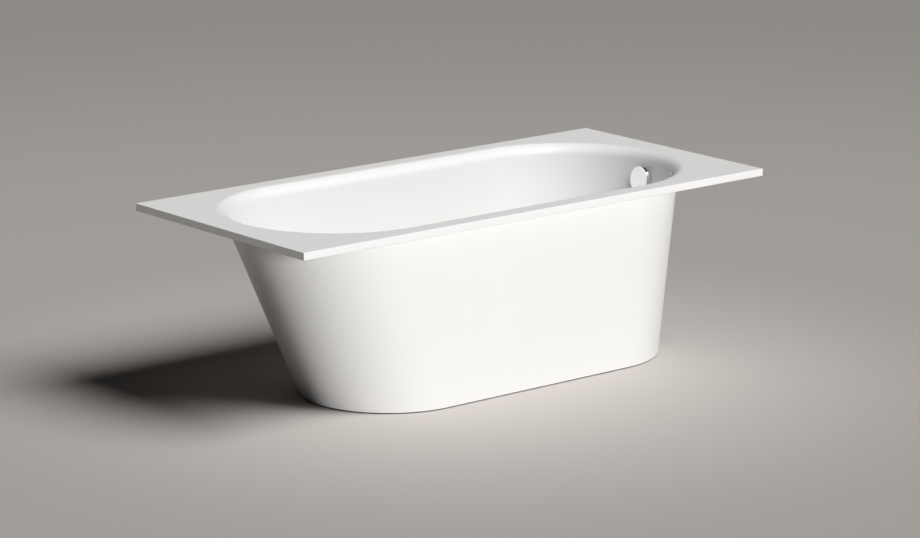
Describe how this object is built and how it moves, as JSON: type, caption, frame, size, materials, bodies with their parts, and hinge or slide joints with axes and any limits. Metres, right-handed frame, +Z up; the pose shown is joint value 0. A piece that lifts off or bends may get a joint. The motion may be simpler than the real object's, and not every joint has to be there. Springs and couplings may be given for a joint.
{
  "type": "bathtub",
  "caption": "Bathtub with a thin flat rectangular deck, an oval basin sloped at the head end, a tapering oval skirt, a round turning overflow knob and a pop-up drain plug.",
  "frame": {"origin": "on the floor under the centre of the deck", "axes": "+X along the length to the drain and overflow end, -X the sloping head end, -Y the front, +Z up"},
  "size_m": [1.7, 0.8, 0.57],
  "materials": {
    "cast_white": "satin",
    "white_sealant": "satin",
    "chrome_plate": "polished",
    "birch_board": "matte",
    "zinc_steel": "satin",
    "stainless": "satin",
    "black_rubber": "matte",
    "pale_plastic": "satin",
    "grey_hose": "satin",
    "cable_sleeve": "satin"
  },
  "bodies": {
    "tub": {"tub_shell": "cast_white", "outer_skirt": "cast_white", "skirt_seal": "white_sealant", "waste_flange": "chrome_plate", "base_board": "birch_board", "cradle_rail_head": "zinc_steel", "cradle_rail_drain": "zinc_steel", "rail_screws": "zinc_steel", "upper_stud_nuts": "zinc_steel", "lower_stud_nuts": "zinc_steel", "overflow_plate": "stainless", "overflow_screws": "stainless", "hose_clip_upper": "stainless", "hose_clip_lower": "stainless", "cable_ferrule": "stainless", "skirt_buffers": "black_rubber", "waste_flange_seal": "black_rubber", "waste_gasket": "black_rubber", "tail_pipe_seal": "black_rubber", "overflow_front_seal": "black_rubber", "overflow_gasket": "black_rubber", "cable_grommet": "black_rubber", "waste_body": "pale_plastic", "tail_pipe": "pale_plastic", "tail_pipe_nut": "pale_plastic", "overflow_channel": "pale_plastic", "overflow_hose": "grey_hose", "control_cable": "cable_sleeve"},
    "knob": {"overflow_knob": "chrome_plate", "knob_spindle": "stainless", "cable_drum": "pale_plastic"},
    "plug": {"waste_plug": "chrome_plate", "plug_seal": "black_rubber", "plug_stem": "stainless"},
    "lever": {"lift_lever": "pale_plastic", "lever_axle": "stainless", "lever_crank": "stainless"},
    "wire": {"pull_wire": "stainless"},
    "foot_head_front": {"levelling_stud_head_front": "zinc_steel", "levelling_pad_head_front": "black_rubber"},
    "foot_head_back": {"levelling_stud_head_back": "zinc_steel", "levelling_pad_head_back": "black_rubber"},
    "foot_drain_front": {"levelling_stud_drain_front": "zinc_steel", "levelling_pad_drain_front": "black_rubber"},
    "foot_drain_back": {"levelling_stud_drain_back": "zinc_steel", "levelling_pad_drain_back": "black_rubber"}
  },
  "joints": [
    {"name": "knob_turn", "type": "hinge", "parent": "tub", "child": "knob", "pos_m": [0.73068, 0, 0.489], "axis": [0.9847, 0, -0.174], "range_deg": [0, 90]},
    {"name": "plug_lift", "type": "slide", "parent": "tub", "child": "plug", "axis": [0, 0, 1], "range_m": [0, 0.01237]},
    {"name": "lever_swing", "type": "hinge", "parent": "tub", "child": "lever", "pos_m": [0.46, 0, 0.104], "axis": [0, -1, 0], "range_deg": [0, 36.02]},
    {"name": "wire_pull", "type": "slide", "parent": "tub", "child": "wire", "axis": [1, 0, 0], "range_m": [0, 0.01546]},
    {"name": "foot_head_front_level", "type": "slide", "parent": "tub", "child": "foot_head_front", "axis": [0, 0, -1], "range_m": [0, 0.012]},
    {"name": "foot_head_back_level", "type": "slide", "parent": "tub", "child": "foot_head_back", "axis": [0, 0, -1], "range_m": [0, 0.012]},
    {"name": "foot_drain_front_level", "type": "slide", "parent": "tub", "child": "foot_drain_front", "axis": [0, 0, -1], "range_m": [0, 0.012]},
    {"name": "foot_drain_back_level", "type": "slide", "parent": "tub", "child": "foot_drain_back", "axis": [0, 0, -1], "range_m": [0, 0.012]}
  ],
  "couplings": [
    {"joint": "plug_lift", "follows": "knob_turn", "m_per_rad": 0.0078691},
    {"joint": "lever_swing", "follows": "knob_turn", "ratio": 0.4},
    {"joint": "wire_pull", "follows": "knob_turn", "m_per_rad": 0.0098363}
  ]
}
